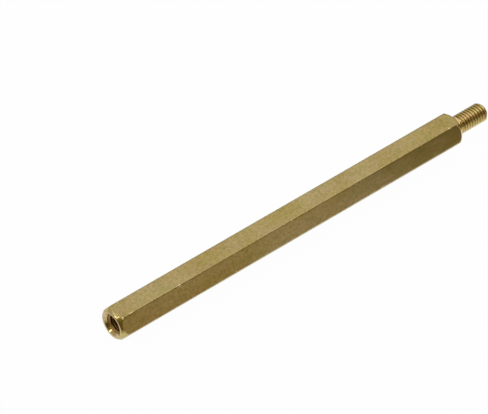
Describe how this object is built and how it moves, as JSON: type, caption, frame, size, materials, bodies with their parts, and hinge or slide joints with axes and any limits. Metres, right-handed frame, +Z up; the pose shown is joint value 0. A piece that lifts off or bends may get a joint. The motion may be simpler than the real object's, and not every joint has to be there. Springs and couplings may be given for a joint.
{
  "type": "hex standoff",
  "caption": "Long male-female hexagon standoff turned from brass bar, with a tapped and countersunk hole at one end and a short threaded stud at the other.",
  "frame": {"origin": "on the surface the standoff lies on, under the middle of its overall length", "axes": "+X along the standoff from the tapped end towards the stud, +Z up out of the upper flat, +Y across the flats' long edges"},
  "size_m": [0.071, 0.0058, 0.005],
  "materials": {
    "brass": "tumbled matt on the flats, brighter where it was turned"
  },
  "bodies": {
    "root": {"standoff": "brass"}
  },
  "joints": []
}
